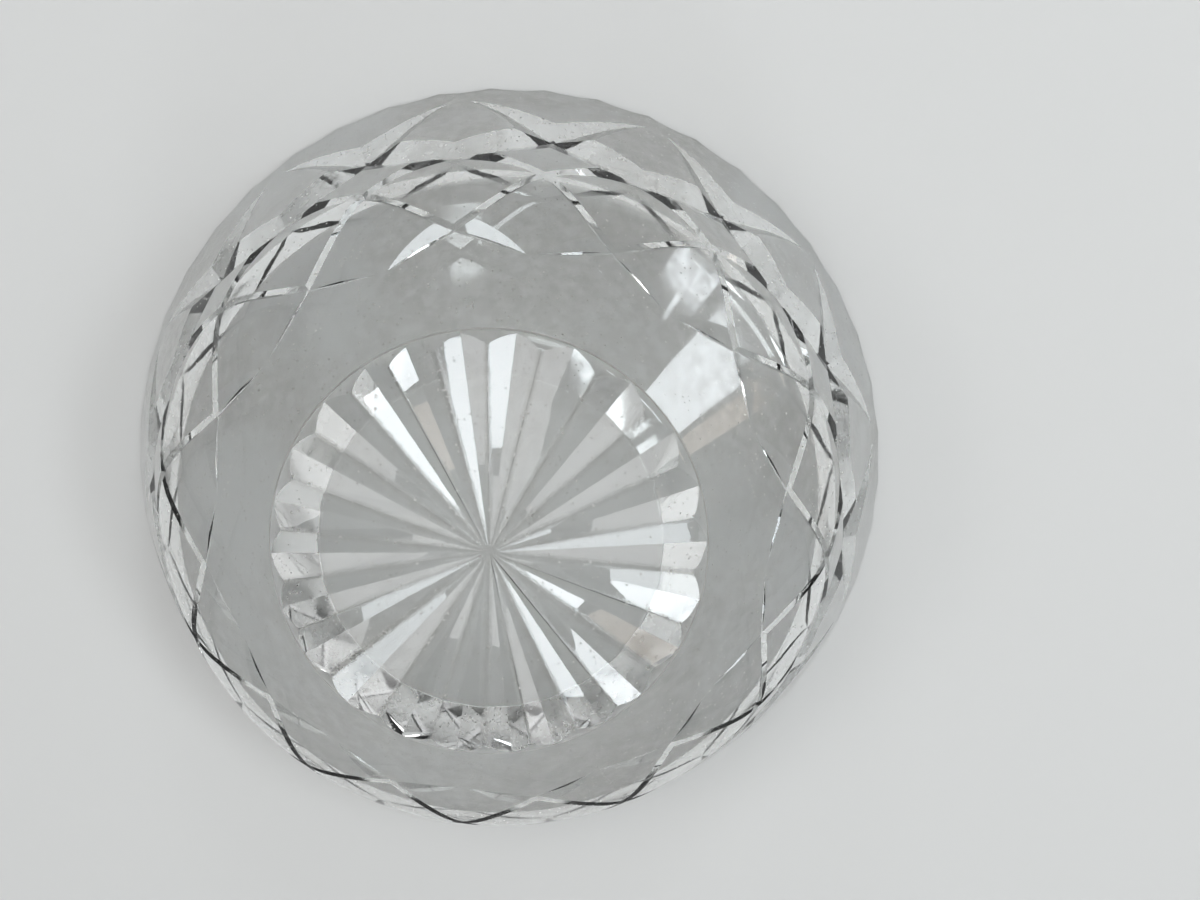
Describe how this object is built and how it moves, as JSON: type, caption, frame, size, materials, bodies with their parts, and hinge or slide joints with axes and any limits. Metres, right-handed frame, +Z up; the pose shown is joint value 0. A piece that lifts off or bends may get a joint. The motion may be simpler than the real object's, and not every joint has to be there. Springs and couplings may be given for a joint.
{
  "type": "glass bowl",
  "caption": "Round cut-glass bowl with a low star-cut foot, mitre cuts crossing round its belly and wall, and a finely scalloped rim. It stands on its foot and holds fruit or salad.",
  "frame": {"origin": "centre of the foot's resting plane, on the bowl's own axis", "axes": "+Z up out of the mouth along the bowl's axis, +X through a point of the scalloped rim and a tip of the mitre cuts, +Y to complete a right-handed frame"},
  "size_m": [0.2, 0.1996, 0.084],
  "materials": {
    "clear_glass": "clear, cut and polished"
  },
  "bodies": {
    "root": {"bowl": "clear_glass"}
  },
  "joints": []
}
